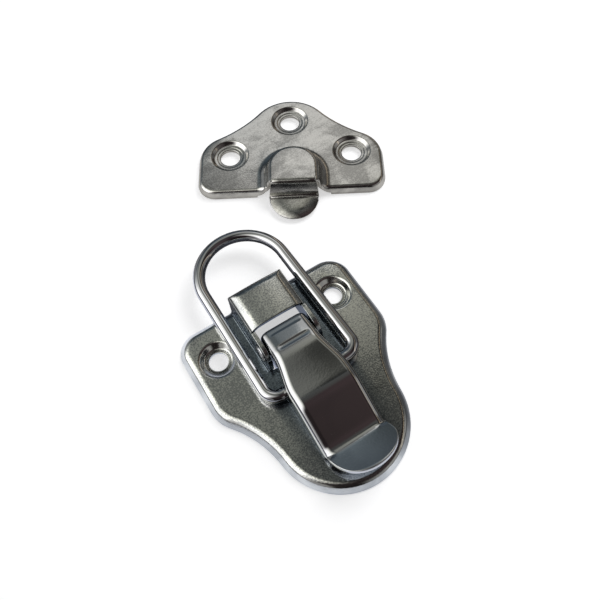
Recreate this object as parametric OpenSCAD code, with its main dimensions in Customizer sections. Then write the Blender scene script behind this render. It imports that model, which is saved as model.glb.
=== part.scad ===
// Folding table latch: a draw latch with a wire bail, and the catch plate that it hooks over.
// The mounting plane is z = 0, and the origin lies midway between the two ear screw holes.
// The latch pulls along +Y. The catch plate lies beside it, turned, as a loose pair is laid out.

/* [Sheet] */
// Thickness of the pressed steel sheet
sheet_t = 0.9; // [0.8:0.05:1]
// Height of both plates from the mounting plane to their top face
pan_h = 2.2; // [2:0.1:2.5]
// Outer radius of the drawn rim around both plates
rim_r = 1.6; // [1.3:0.1:1.8]

/* [Base plate] */
// Distance from an ear screw hole out to the plate's side
ear_side = 6.4; // [6:0.1:8.4]
// Distance from the line of ear holes to the top edge
base_top = 8.3; // [7.6:0.1:9.6]
// Distance from the line of ear holes to the centre of the ears' lower corners
ear_drop = 8.4; // [7.4:0.1:9.4]
// Corner radius at the top of each ear
ear_top_r = 4.8; // [4:0.1:5.4]
// Corner radius at the bottom of each ear
ear_low_r = 7.6; // [6.6:0.1:8.4]
// Radius of the hollow between an ear and the rounded end
waist_r = 22; // [16:0.5:30]
// Radius of the rounded end
end_r = 14; // [13:0.5:15.5]
// Distance from the line of ear holes to the tip of the rounded end
base_drop = 37.2; // [36.4:0.1:42]

/* [Screw holes] */
// Distance between the two ear screw holes
ear_hole_pitch = 28; // [27:0.5:33]
// Diameter of the latch's screw holes
base_hole_d = 4; // [3.4:0.1:4.4]
// Diameter across the top of a dimple around the latch's screw holes
base_dimple_d = 8.8; // [8.4:0.1:9]
// Distance from the line of ear holes to the third hole under the lever
tail_hole_drop = 24; // [22:0.5:26]

/* [Hood and ears] */
// Width across the hood's side walls
hood_w = 12.4; // [12.3:0.1:13.2]
// Height of the hood's top face
hood_z = 9.2; // [8.8:0.1:10]
// Outer radius of the hood's top edges
hood_bend_r = 2.1; // [1.4:0.1:2.4]
// Distance from the line of ear holes down to the hood's near edge
hood_near = 1; // [0.6:0.1:1.2]
// Depth of the lip that turns down at the hood's far end
lip_depth = 2.6; // [2.2:0.1:3]
// Fillet radius where the hood's walls meet the plate
foot_r = 0.9; // [0.6:0.1:1.2]
// Radius of the hinge ears around the pin
hinge_ear_r = 3.2; // [2.8:0.1:3.3]

/* [Hinge pin] */
// Distance from the line of ear holes down to the pin
pin_drop = 4.8; // [4.6:0.1:5.2]
// Height of the pin's axis
pin_z = 5.2; // [5:0.1:5.4]
// Diameter of the pin
pin_d = 2.5; // [2:0.1:2.8]
// Diameter of the pin's two rivet heads
pin_head_d = 4.2; // [3.8:0.1:5]
// Thickness of a rivet head
pin_head_t = 0.7; // [0.5:0.1:0.9]

/* [Lever] */
// Distance from the line of ear holes down to the lever's front edge
lever_front = 2.6; // [2.4:0.1:2.9]
// Length of the lever in plan
lever_len = 32.5; // [32:0.1:33.5]
// Width of the lever between the hinge ears
lever_w_front = 10.3; // [9.6:0.1:10.4]
// Width of the lever behind the bail
lever_w_body = 13.2; // [12.4:0.1:13.8]
// Outer radius of the lever's long edges
lever_bend_r = 1.5; // [1.2:0.1:1.8]
// How far the lever's crest stands above the hood
lever_rise = 0.3; // [0:0.1:0.8]
// Height of the bend line where the finger tab begins
tab_bend_z = 4.8; // [4.5:0.1:5.2]
// Height of the finger tab's tip
tab_tip_z = 7.7; // [6.5:0.1:8.5]

/* [Bail] */
// Wire diameter
wire_d = 2.6; // [2.4:0.1:3]
// Width of the bail between the wire's centrelines
bail_w = 19.4; // [19:0.1:22]
// Distance from the line of ear holes down to the bail's pivot
bail_drop = 14; // [13.6:0.1:14.4]
// Distance from the line of ear holes up to the centreline at the round end
bail_reach = 22.7; // [20:0.1:26]
// Centreline radius of the two corners at the pivot
bail_corner_r = 2.7; // [2.2:0.1:2.9]
// Gap between the wire's two ends inside the lever
wire_gap = 1.2; // [0.6:0.1:3]

/* [Catch plate] */
// Distance between its two lower screw holes
catch_hole_pitch = 29.4; // [28:0.2:34]
// Distance from a lower screw hole out to the plate's side
catch_side = 7.6; // [7.2:0.1:9.6]
// Distance from the lower holes up to the third hole
catch_hole_rise = 10.2; // [9.8:0.1:11]
// Diameter of the catch plate's screw holes
catch_hole_d = 4.7; // [4:0.1:5.2]
// Diameter across the top of a dimple around the catch plate's holes
catch_dimple_d = 9.2; // [8.6:0.1:9.6]
// Depth of the dimples around the catch plate's holes
catch_dimple_depth = 0.7; // [0.5:0.1:1]
// Distance from the lower holes down to the bottom edge
catch_drop = 11.2; // [10.9:0.1:11.4]
// Distance from the lower holes up to the top of the plate
catch_rise = 17.3; // [16.8:0.1:18.6]
// Radius of the round top
catch_top_r = 10.4; // [9.6:0.1:11]
// Radius of the shoulders
shoulder_r = 7.6; // [7:0.1:8.2]
// Radius of the bottom corners
catch_corner_r = 4.2; // [3.4:0.1:4.8]
// Radius of the long hollow between a shoulder and the top
catch_waist_r = 31; // [25:1:50]

/* [Catch dome] */
// Width across the dome's walls
dome_w = 12.2; // [11.8:0.1:12.6]
// Height of the dome's top face
dome_z = 6; // [5.8:0.1:7]
// Outer radius of the dome's top edge
dome_bend_r = 1.2; // [1.1:0.1:1.4]
// Fillet radius where the dome meets the plate
dome_foot_r = 2.2; // [1.6:0.1:2.3]
// Distance from the lower holes down to the centre of the dome's round end
dome_drop = 6.7; // [6.2:0.1:7.4]
// Width of the front wall and the tongue
tongue_w = 11.4; // [10.4:0.1:11.6]
// Distance from the lower holes down to the front wall
dome_front = 11.8; // [11.5:0.1:12.4]
// How far the tongue reaches past the front wall
tongue_len = 6.6; // [6.2:0.1:8.4]
// How far the dome and the tongue stand off the plate's centre line
dome_shift = 0.5; // [0:0.1:0.8]

/* [Layout] */
// Where the catch plate lies beside the latch, along X
catch_x = 26.4; // [24:0.1:45]
// Where the catch plate lies beside the latch, along Y
catch_y = 37.1; // [36.8:0.1:60]
// How far the catch plate is turned, in degrees
catch_turn = -30.3; // [-40:0.1:0]

/* [Fits] */
// Radial play of the pin in the lever
pin_play = 0.06; // [0.03:0.01:0.1]
// Radial play of the pin in the hinge ears
ear_play = 0.03; // [0.02:0.01:0.06]
// Radial play of the wire in the lever
wire_play = 0.07; // [0.03:0.01:0.1]
// Gap between the plate and the wire that lies over it
wire_lift = 0.9; // [0.5:0.1:1.1]
// Gap between the plate and the lever's lower edges
lever_lift = 0.4; // [0.3:0.05:0.5]

/* [Hidden] */
$fn = 96;
// How far a cutter runs past what it cuts
past = 1;
tiny = 0.01;

// The latch's dimples reach down to the mounting plane
base_dimple_depth = pan_h - sheet_t;
// How far a dimple laps over the flat that it joins
dimple_lap = 0.2;

// Steps along the outline's arcs, in degrees, and around the rim's bend
arc_step = 6;
rim_steps = 4;

// Width of each plate
base_w = ear_hole_pitch + 2 * ear_side;
catch_w = catch_hole_pitch + 2 * catch_side;

// Hood and hinge
hood_half = hood_w / 2;
hood_side = hood_half - sheet_t;
hood_skirt = hood_half + foot_r;
ear_tip = pin_drop + hinge_ear_r;
bail_z = pan_h + wire_lift + wire_d / 2;

// Lever stations, measured along the plan from the front edge to the tip of the tab
crest_z = hood_z + lever_rise;
front_z = hood_z - sheet_t;
s_crest = 6.4;
s_fall = 14.2;
tab_len = 6.9;
s_tab = lever_len - tab_len;
s_wide = 13.9;
s_narrow = 5.4;
// Half lengths of the bends along the lever's top line
crest_bend = 2;
tab_bend = 0.8;
tab_flare = 0.2;
tab_flare_len = 1.5;
tab_end_r = 4.6;
bend_steps = 5;
station_pitch = 0.7;
tab_straight_steps = 6;
tab_round_steps = 8;
tab_round_sweep = 80;
flange_z = pan_h + lever_lift;
// The tab's edge is rounded over nearly its whole thickness
edge_skin = 0.05;
strip_r = sheet_t + edge_skin;
flange_end = s_tab;
groove_s = 4.9;
groove_r = 1.1;
groove_depth = 0.35;
groove_w = 8.2;

// Catch plate
shoulder_y = -0.9;
dome_half = dome_w / 2;
dome_skirt = dome_half + dome_foot_r;
tongue_sink = 0.2;
tongue_z = pan_h - tongue_sink;
front_bend_r = 1.3;
slit = 0.3;

// Centre of a circle of radius r that touches circles a and b from outside, to the right of a to b
function touching(a, b, r) =
    let (gap = [b.x - a.x, b.y - a.y],
         reach = norm(gap),
         along = (pow(a.z + r, 2) - pow(b.z + r, 2) + reach * reach) / (2 * reach),
         off = sqrt(pow(a.z + r, 2) - along * along),
         u = gap / reach)
    [a.x + u.x * along + u.y * off, a.y + u.y * along - u.x * off, -r];

// An outline is a loop of circles [x, y, r], taken anticlockwise. A hollow has a negative radius.
base_ear = [base_w / 2 - ear_low_r, -ear_drop, ear_low_r];
base_corner = [base_w / 2 - ear_top_r, base_top - ear_top_r, ear_top_r];
base_end = [0, end_r - base_drop, end_r];
base_waist = touching(base_end, base_ear, waist_r);
base_loop = [base_ear, base_corner, flip(base_corner), flip(base_ear), flip(base_waist),
             base_end, base_waist];

catch_corner = [catch_w / 2 - catch_corner_r, catch_corner_r - catch_drop, catch_corner_r];
catch_shoulder = [catch_w / 2 - shoulder_r, shoulder_y, shoulder_r];
catch_top = [0, catch_rise - catch_top_r, catch_top_r];
catch_waist = touching(catch_shoulder, catch_top, catch_waist_r);
catch_loop = [catch_corner, catch_shoulder, catch_waist, catch_top, flip(catch_waist),
              flip(catch_shoulder), flip(catch_corner)];

function flip(c) = [-c.x, c.y, c.z];
function after(i, loop) = loop[(i + 1) % len(loop)];
function before(i, loop) = loop[(i + len(loop) - 1) % len(loop)];

// Direction of the outward normal where the outline passes from circle a to circle b
function normal(a, b) =
    let (gap = [b.x - a.x, b.y - a.y])
    atan2(gap.y, gap.x) - acos(max(-1, min(1, (a.z - b.z) / norm(gap))));
function start_normal(i, loop) = normal(before(i, loop), loop[i]);
function end_normal(i, loop) = normal(loop[i], after(i, loop));
function turned(angle) = angle - 360 * floor(angle / 360);
function sweep(i, loop) = loop[i].z > 0
    ? turned(end_normal(i, loop) - start_normal(i, loop))
    : turned(start_normal(i, loop) - end_normal(i, loop));
function on_circle(c, angle, inset) = [c.x, c.y] + (c.z - inset) * [cos(angle), sin(angle)];

// Points of the outline at an inset. A stretch of no length between two circles gives one point only.
function outline(loop, inset) =
    [for (i = [0 : len(loop) - 1])
     let (c = loop[i],
          from = start_normal(i, loop),
          turn = sweep(i, loop) * sign(c.z),
          steps = ceil(abs(turn) / arc_step),
          joined = norm(on_circle(c, from, 0) - on_circle(before(i, loop), from, 0)) < tiny)
     for (k = [joined ? 1 : 0 : steps])
     on_circle(c, from + turn * k / steps, inset)];

// Section of the drawn rim as [inset, height], from the underside of the flat round to its top
function rim_section() =
    [for (k = [rim_steps : -1 : 0])
     rim_bend(rim_r - sheet_t, k),
     [sheet_t, 0],
     [0, 0],
     for (k = [0 : rim_steps])
     rim_bend(rim_r, k)];
function rim_bend(r, k) =
    [rim_r - r * cos(90 * k / rim_steps), pan_h - rim_r + r * sin(90 * k / rim_steps)];

// Shallow pan: a flat face with a rounded rim that turns down to the mounting plane
module pan(loop) {
    rings = [for (p = rim_section()) [for (q = outline(loop, p.x)) [q.x, q.y, p.y]]];
    n = len(rings[0]);
    last = len(rings) - 1;
    side = [for (k = [0 : last - 1])
            for (i = [0 : n - 1])
            for (half = [0, 1])
            let (a = k * n + i, b = k * n + (i + 1) % n)
            half == 0 ? [a, a + n, b] : [b, a + n, b + n]];
    under = [for (i = [0 : n - 1]) i];
    over = [for (i = [n - 1 : -1 : 0]) last * n + i];
    polyhedron(points = [for (ring = rings) each ring], faces = concat(side, [under, over]));
}

// Dimple that sinks the sheet around a screw hole, with a wall at 45 degrees
module dimple(dimple_d, hole_d, depth) {
    under = pan_h - sheet_t;
    room_r = (dimple_d + sheet_t) / 2;
    floor_r = dimple_d / 2 - depth;
    rotate_extrude()
        polygon([[hole_d / 2, under - depth], [room_r - depth, under - depth], [room_r, under],
                 [room_r + dimple_lap, under], [room_r + dimple_lap, pan_h], [dimple_d / 2, pan_h],
                 [floor_r, pan_h - depth], [hole_d / 2, pan_h - depth]]);
}

// Room that a dimple takes out of the flat
module dimple_room(dimple_d) {
    translate([0, 0, -past]) cylinder(d = dimple_d + sheet_t, h = pan_h + 2 * past);
}

// Area under a drawn wall: half width, top height, top radius, foot radius, all on the outer face.
// An inset of one sheet gives the inner face.
module drawn_area(half, top, bend, foot, inset) {
    low = pan_h - sheet_t;
    side = half - inset;
    bend_in = bend - inset;
    for (end = [-1, 1])
        translate([end * (half - bend), top - bend])
            circle(bend_in);
    translate([-side, low]) square([2 * side, top - bend - low]);
    translate([-half + bend, low]) square([2 * (half - bend), top - inset - low]);
    for (end = [0, 1])
        mirror([end, 0])
            difference() {
                translate([side - past / 2, low]) square([foot + inset + past / 2, pan_h + foot - low]);
                translate([half + foot, pan_h + foot]) circle(foot + inset);
            }
}

// The same area run along Y between two places
module drawn_run(half, top, bend, foot, inset, y0, y1) {
    translate([0, y1, 0])
        rotate([90, 0, 0])
            linear_extrude(y1 - y0)
                drawn_area(half, top, bend, foot, inset);
}

// Side view of the hood from the left, with its far edge rounded down
module hood_side_area(inset) {
    low = pan_h - sheet_t - past;
    far = base_top - inset;
    top = hood_z - inset;
    bend = hood_bend_r - inset;
    translate([base_top - hood_bend_r, hood_z - hood_bend_r]) circle(bend);
    translate([-hood_near - past, low]) square([hood_near + past + base_top - hood_bend_r, top - low]);
    translate([-hood_near - past, low]) square([far + hood_near + past, hood_z - hood_bend_r - low]);
}

// An area drawn in the Y, Z plane, given a width about x = 0
module across(width) {
    rotate([90, 0, 90])
        translate([0, 0, -width / 2])
            linear_extrude(width) children();
}

module hood() {
    wide = 2 * (hood_skirt + past);
    difference() {
        intersection() {
            drawn_run(hood_half, hood_z, hood_bend_r, foot_r, 0, -hood_near, base_top);
            across(wide) hood_side_area(0);
        }
        intersection() {
            drawn_run(hood_half, hood_z, hood_bend_r, foot_r, sheet_t, -hood_near - past, base_top + past);
            across(wide) hood_side_area(sheet_t);
        }
        // the far end is open below the lip
        translate([-hood_side, 0, pan_h - sheet_t - past])
            cube([2 * hood_side, base_top + past, hood_z - lip_depth - pan_h + sheet_t + past]);
    }
}

// The two walls that carry the pin, running on from the hood
module hinge_ears() {
    intersection() {
        difference() {
            drawn_run(hood_half, 2 * hood_z, hood_bend_r, foot_r, 0, -ear_tip, -hood_near);
            drawn_run(hood_half, 2 * hood_z, hood_bend_r, foot_r, sheet_t,
                      -ear_tip - past, -hood_near + past);
        }
        across(2 * (hood_skirt + past)) {
            translate([-pin_drop, pin_z]) circle(hinge_ear_r);
            translate([-pin_drop, 0]) square([pin_drop - hood_near, pin_z + hinge_ear_r]);
            translate([-ear_tip, 0]) square([ear_tip - hood_near, pin_z]);
        }
    }
}

// A rod along X through a place in the Y, Z plane
module rod_x(d, y, z, length) {
    translate([-length / 2, y, z])
        rotate([0, 90, 0])
            cylinder(d = d, h = length);
}

function base_holes() = [[-ear_hole_pitch / 2, 0], [ear_hole_pitch / 2, 0], [0, -tail_hole_drop]];

module base_plate() {
    color("Silver") {
        difference() {
            union() {
                difference() {
                    pan(base_loop);
                    translate([-hood_skirt, -ear_tip, -past])
                        cube([2 * hood_skirt, ear_tip + base_top + past, pan_h + 2 * past]);
                    for (hole = base_holes())
                        translate(hole) dimple_room(base_dimple_d);
                }
                for (hole = base_holes())
                    translate(hole) dimple(base_dimple_d, base_hole_d, base_dimple_depth);
                hood();
                hinge_ears();
            }
            rod_x(pin_d + 2 * ear_play, -pin_drop, pin_z, 4 * hood_half);
        }
    }
}

module hinge_pin() {
    color("Gainsboro") {
        rod_x(pin_d, -pin_drop, pin_z, 2 * hood_half);
        for (end = [0, 1])
            mirror([end, 0, 0])
                translate([hood_half, -pin_drop, pin_z])
                    rotate([0, 90, 0])
                        cylinder(d1 = pin_head_d, d2 = pin_head_d - pin_head_t, h = pin_head_t);
    }
}

// A bend of half length b at the start of a straight run
function ramp(d, b) = d < -b ? 0 : d > b ? d : (d + b) * (d + b) / (4 * b);
function ease(t) = t <= 0 ? 0 : t >= 1 ? 1 : t * t * (3 - 2 * t);

rise_slope = (crest_z - front_z) / s_crest;
fall_slope = (tab_bend_z - crest_z) / (s_tab - s_fall);
tab_slope = (tab_tip_z - tab_bend_z) / (lever_len - s_tab);

// Height of the lever's top face at a station, and its slope
function lever_z(s) = front_z + rise_slope * s - rise_slope * ramp(s - s_crest, crest_bend)
    + fall_slope * ramp(s - s_fall, crest_bend) + (tab_slope - fall_slope) * ramp(s - s_tab, tab_bend);
function lever_slope(s) = (lever_z(s + tiny) - lever_z(s - tiny)) / (2 * tiny);

// Half width of the lever in plan at a station
function lever_half(s) =
    let (body = lever_w_front / 2
             + (lever_w_body - lever_w_front) / 2 * ease((s - s_narrow) / (s_wide - s_narrow))
             + tab_flare * ease((s - s_tab) / tab_flare_len),
         into_end = s - (lever_len - tab_end_r))
    into_end <= 0 ? body : body - tab_end_r + sqrt(max(0, tab_end_r * tab_end_r - into_end * into_end));

// Quarter turn of radius r about a centre, from the side to the top
function bend(centre, r) =
    [for (i = [0 : bend_steps]) centre + r * [cos(90 * i / bend_steps), sin(90 * i / bend_steps)]];

// One cross-section of the lever: up one flange, over the top, down the other, and back inside
function lever_section(s, flanged) =
    let (half = lever_half(s),
         top = lever_z(s),
         t = sheet_t * sqrt(1 + pow(lever_slope(s), 2)),
         r = flanged ? lever_bend_r : strip_r * t / sheet_t,
         low = flanged ? flange_z : top - r - edge_skin,
         outer = [[half, low], each bend([half - r, top - r], r)],
         inner = [[half - t, low], each bend([half - r, top - r], r - t)],
         right = concat(outer, [for (i = [len(outer) - 1 : -1 : 0]) [-outer[i].x, outer[i].y]]),
         back = concat([for (p = inner) [-p.x, p.y]], [for (i = [len(inner) - 1 : -1 : 0]) inner[i]]))
    [for (p = concat(right, back)) [p.x, -lever_front - s, p.y]];

// Solid through a row of sections that all have the same number of points
module loft(sections) {
    n = len(sections[0]);
    last = len(sections) - 1;
    side = [for (k = [0 : last - 1])
            for (i = [0 : n - 1])
            for (half = [0, 1])
            let (a = k * n + i, b = k * n + (i + 1) % n)
            half == 0 ? [a, a + n, b] : [b, a + n, b + n]];
    // each end is a strip of quads between the outer and the inner line
    ends = [for (k = [0, last])
            for (i = [0 : n / 2 - 2])
            for (half = [0, 1])
            let (a = k * n + i, b = a + 1, c = k * n + n - 2 - i, d = c + 1,
                 face = half == 0 ? [a, b, d] : [b, c, d])
            k == 0 ? face : [face[2], face[1], face[0]]];
    polyhedron(points = [for (section = sections) each section], faces = concat(side, ends));
}

// Stations along the flanged part, and along the tab with its round end
flanged_steps = ceil(flange_end / station_pitch);
flanged_stations = [for (i = [0 : flanged_steps]) flange_end * i / flanged_steps];
tab_start = flange_end - sheet_t;
tab_straight = lever_len - tab_end_r;
tab_stations = [each [for (i = [0 : tab_straight_steps - 1])
                      tab_start + (tab_straight - tab_start) * i / tab_straight_steps],
                each [for (i = [0 : tab_round_steps])
                      tab_straight + tab_end_r * sin(tab_round_sweep * i / tab_round_steps)]];

module lever() {
    color("DimGray") {
        difference() {
            union() {
                loft([for (s = flanged_stations) lever_section(s, true)]);
                loft([for (s = tab_stations) lever_section(s, false)]);
            }
            rod_x(pin_d + 2 * pin_play, -pin_drop, pin_z, 2 * lever_w_body);
            rod_x(wire_d + 2 * wire_play, -bail_drop, bail_z, 2 * lever_w_body);
            // shallow groove across the top behind the hinge
            rod_x(2 * groove_r, -lever_front - groove_s,
                  lever_z(groove_s) + groove_r - groove_depth, groove_w);
        }
    }
}

module bail() {
    half = bail_w / 2;
    bar_x = half - bail_corner_r;
    side_low = -bail_drop + bail_corner_r;
    side_high = bail_reach - half;
    color("Gainsboro")
        translate([0, 0, bail_z]) {
            translate([0, side_high, 0])
                rotate_extrude(angle = 180)
                    translate([half, 0]) circle(d = wire_d);
            for (end = [0, 1])
                mirror([end, 0, 0]) {
                    translate([half, side_high, 0])
                        rotate([90, 0, 0])
                            cylinder(d = wire_d, h = side_high - side_low);
                    translate([bar_x, side_low, 0])
                        rotate(-90)
                            rotate_extrude(angle = 90)
                                translate([bail_corner_r, 0]) circle(d = wire_d);
                    translate([wire_gap / 2, -bail_drop, 0])
                        rotate([0, 90, 0])
                            cylinder(d = wire_d, h = bar_x - wire_gap / 2);
                }
        }
}

// Side view of the strip that runs down from the dome and out as the tongue
module tongue_area() {
    front = -dome_front;
    top = dome_z;
    r = front_bend_r;
    // over the front edge of the dome
    translate([front + r, top - r])
        intersection() {
            difference() {
                circle(r);
                circle(r - sheet_t);
            }
            translate([-r, 0]) square(r);
        }
    translate([front + r, top - sheet_t]) square([sheet_t, sheet_t]);
    // down the front wall
    translate([front, tongue_z + r - sheet_t]) square([sheet_t, top - tongue_z - 2 * r + sheet_t]);
    // round into the tongue
    translate([front - r + sheet_t, tongue_z + r - sheet_t])
        intersection() {
            difference() {
                circle(r);
                circle(r - sheet_t);
            }
            translate([0, -r]) square(r);
        }
    translate([front - tongue_len, tongue_z - sheet_t]) square([tongue_len - r + sheet_t, sheet_t]);
}

// Plan of the tongue, with a round end
module tongue_plan() {
    half = tongue_w / 2;
    translate([0, half - dome_front - tongue_len]) circle(half);
    translate([-half, half - dome_front - tongue_len]) square([tongue_w, tongue_len]);
}

module dome() {
    // round far end
    translate([0, -dome_drop, 0])
        rotate_extrude(angle = 180)
            intersection() {
                difference() {
                    drawn_area(dome_half, dome_z, dome_bend_r, dome_foot_r, 0);
                    drawn_area(dome_half, dome_z, dome_bend_r, dome_foot_r, sheet_t);
                }
                square([dome_skirt + past, dome_z + past]);
            }
    // side walls and top, with the front end open
    difference() {
        drawn_run(dome_half, dome_z, dome_bend_r, dome_foot_r, 0, -catch_drop, -dome_drop);
        drawn_run(dome_half, dome_z, dome_bend_r, dome_foot_r, sheet_t,
                  -catch_drop - past, -dome_drop + past);
        // slits beside the front wall, and room for its bend
        translate([-tongue_w / 2 - slit, -dome_front - past, -past])
            cube([tongue_w + 2 * slit, past + front_bend_r, dome_z + 2 * past]);
    }
    intersection() {
        across(tongue_w) tongue_area();
        linear_extrude(dome_z + past) tongue_plan();
    }
}

function catch_holes() = [[-catch_hole_pitch / 2, 0], [catch_hole_pitch / 2, 0], [0, catch_hole_rise]];

module catch_plate() {
    color("LightGray")
        translate([catch_x, catch_y, 0])
            rotate(catch_turn) {
                difference() {
                    pan(catch_loop);
                    translate([dome_shift, -dome_drop, -past]) cylinder(r = dome_skirt, h = pan_h + 2 * past);
                    translate([dome_shift - dome_skirt, -catch_drop - past, -past])
                        cube([2 * dome_skirt, catch_drop - dome_drop + past, pan_h + 2 * past]);
                    for (hole = catch_holes())
                        translate(hole) dimple_room(catch_dimple_d);
                }
                for (hole = catch_holes())
                    translate(hole) dimple(catch_dimple_d, catch_hole_d, catch_dimple_depth);
                translate([dome_shift, 0, 0]) dome();
            }
}

base_plate();
hinge_pin();
lever();
bail();
catch_plate();
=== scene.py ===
"""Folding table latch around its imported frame: two pressed plates, a lever, a wire bail and a rivet."""

import logging
import math
from collections.abc import Callable, Sequence
from dataclasses import dataclass
from enum import Enum

import bmesh
import bpy
from bmesh.types import BMEdge, BMesh, BMVert
from mathutils import Matrix, Vector


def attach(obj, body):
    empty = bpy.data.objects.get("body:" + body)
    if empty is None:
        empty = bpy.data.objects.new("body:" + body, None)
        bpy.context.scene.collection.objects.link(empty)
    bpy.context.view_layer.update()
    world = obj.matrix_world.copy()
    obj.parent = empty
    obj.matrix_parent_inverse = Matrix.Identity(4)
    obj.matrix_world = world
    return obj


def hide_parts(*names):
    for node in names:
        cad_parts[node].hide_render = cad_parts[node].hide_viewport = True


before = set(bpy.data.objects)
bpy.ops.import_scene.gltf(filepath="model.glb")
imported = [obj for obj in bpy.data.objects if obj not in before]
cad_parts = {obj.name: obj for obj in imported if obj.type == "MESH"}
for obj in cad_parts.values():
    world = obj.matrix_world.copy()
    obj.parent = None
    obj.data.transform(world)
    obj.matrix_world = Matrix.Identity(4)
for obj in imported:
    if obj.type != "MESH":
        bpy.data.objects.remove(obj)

LOG = logging.getLogger("latch")
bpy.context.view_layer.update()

# Shapes are worked out in millimetres and scaled once, when a piece is settled.
MM = 0.001
# Vertices closer than JOIN are one, and heights within LEVEL are the same.
JOIN = 0.002
LEVEL = 0.001
# Cut edges that turn more than this are rounded.
EDGE_ANGLE = math.radians(48)
# What noise mostly keeps to, and the upward share of a normal where a face counts as flat.
NOISE_RANGE = (0.3, 0.7)
FLAT_RANGE = (0.75, 0.95)
WHITE = (1.0, 1.0, 1.0)
BLACK = (0.0, 0.0, 0.0)

Place = Callable[[BMVert], Vector]
Socket = bpy.types.NodeSocket
Sockets = bpy.types.NodeOutputs
Triple = tuple[float, float, float]
Colour = Triple
Pair = tuple[float, float]
Stops = Sequence[tuple[float, Colour]]


class Body(Enum):
    """The moving bodies of the frame."""

    BASE = "base"
    LEVER = "lever"
    BAIL = "bail"


class Slot(Enum):
    """The record's finish slots."""

    SATIN = "satin_plate"
    WIRE = "bright_wire"
    LEVER = "bright_lever"
    CATCH = "catch_finish"


def ease(t: float) -> float:
    """Smooth step from 0 to 1."""
    t = min(1.0, max(0.0, t))
    return t * t * (3 - 2 * t)


def ramp(d: float, b: float) -> float:
    """A straight run that begins with a bend of half length b.

    Args:
        d: Distance past the middle of the bend.
        b: Half length of the bend.

    Returns:
        The height gained on a run of slope 1.
    """
    if d < -b:
        return 0.0
    return d if d > b else (d + b) ** 2 / (4 * b)


def quarter(radius: float, angle: float) -> Pair:
    """Inset and drop of a quarter bend, at an angle in degrees from its flat end."""
    a = math.radians(angle)
    return radius * (1 - math.sin(a)), radius * (1 - math.cos(a))


def both_sides(right: list[Vector]) -> list[Vector]:
    """A whole section from its right half, which ends in the middle."""
    return [Vector((-p.x, p.y, p.z)) for p in right] + right[-2::-1]


@dataclass(frozen=True)
class Arc:
    """One circle of a plate's outline. A hollow has a negative radius."""

    x: float
    y: float
    r: float

    def flipped(self) -> "Arc":
        """The same circle on the other side of the plate."""
        return Arc(-self.x, self.y, self.r)

    def at(self, angle: float, inset: float) -> Vector:
        """The point of the circle at an angle, moved in from the outline."""
        reach = self.r - inset
        return Vector((self.x + reach * math.cos(angle), self.y + reach * math.sin(angle), 0))

    def touching(self, other: "Arc", r: float) -> "Arc":
        """The hollow that touches this circle and another from outside.

        Args:
            other: The next circle.
            r: Radius of the hollow, which lies to the right of the way from this circle to the other.

        Returns:
            The hollow, with a negative radius.
        """
        gap = Vector((other.x - self.x, other.y - self.y))
        reach = gap.length
        along = ((self.r + r) ** 2 - (other.r + r) ** 2 + reach**2) / (2 * reach)
        off = math.sqrt((self.r + r) ** 2 - along**2)
        u = gap / reach
        return Arc(self.x + u.x * along + u.y * off, self.y + u.y * along - u.x * off, -r)


@dataclass(frozen=True)
class Outline:
    """A plate's outline, anticlockwise, that starts and ends on the straight run that a drawn form breaks."""

    arcs: tuple[Arc, ...]
    step: float = math.radians(3.5)

    @staticmethod
    def normal(a: Arc, b: Arc) -> float:
        """Direction of the outward normal where the outline passes from circle a to circle b."""
        gap = Vector((b.x - a.x, b.y - a.y))
        return math.atan2(gap.y, gap.x) - math.acos(max(-1.0, min(1.0, (a.r - b.r) / gap.length)))

    def points(self, inset: float, first_x: float, last_x: float) -> list[Vector]:
        """Points along the outline at an inset.

        Args:
            inset: How far in from the outline.
            first_x: Where the run starts on the broken straight.
            last_x: Where the run ends on it.

        Returns:
            The points, in the plane z = 0, as many at every inset.
        """
        found: list[Vector] = []
        count = len(self.arcs)
        for i, arc in enumerate(self.arcs):
            before, after = self.arcs[i - 1], self.arcs[(i + 1) % count]
            start, end = self.normal(before, arc), self.normal(arc, after)
            turn = (end - start) % math.tau if arc.r > 0 else -((start - end) % math.tau)
            steps = math.ceil(abs(turn) / self.step)
            joined = (arc.at(start, 0) - before.at(start, 0)).length < JOIN
            found += [arc.at(start + turn * k / steps, inset) for k in range(1 if joined else 0, steps + 1)]
        return [Vector((first_x, found[0].y, 0)), *found, Vector((last_x, found[-1].y, 0))]


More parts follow.
